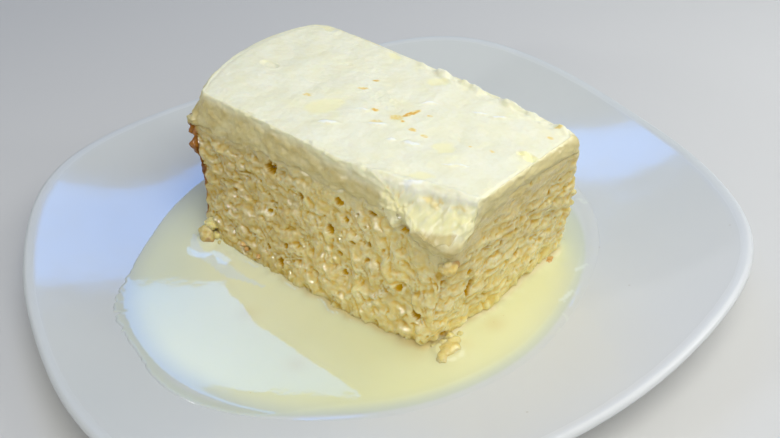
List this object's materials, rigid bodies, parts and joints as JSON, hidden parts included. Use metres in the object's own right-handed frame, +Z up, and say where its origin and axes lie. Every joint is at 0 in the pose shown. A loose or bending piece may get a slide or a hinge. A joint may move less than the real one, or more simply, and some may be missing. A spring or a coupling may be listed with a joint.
{
  "type": "tres leches cake slice on a plate",
  "caption": "Rectangular slice of milk-soaked sponge cake with a whipped cream top, standing in its sweet milk on a rounded square white plate.",
  "frame": {"origin": "centre of the plate's foot ring, on the plane that the plate stands on", "axes": "+Z up; +X and +Y along the sides of the rounded square plate; the slice's length is turned 20 degrees from +X towards +Y"},
  "size_m": [0.2114, 0.2114, 0.0549],
  "materials": {
    "plate": "glossy",
    "milk": "wet, thin and slightly see-through",
    "sponge": "wet open crumb",
    "cream": "soft satin",
    "crumb": "wet"
  },
  "bodies": {
    "root": {"plate": "plate", "milk": "milk", "sponge": "sponge", "cream": "cream", "front_crumb": "crumb", "side_crumb": "crumb"}
  },
  "joints": []
}
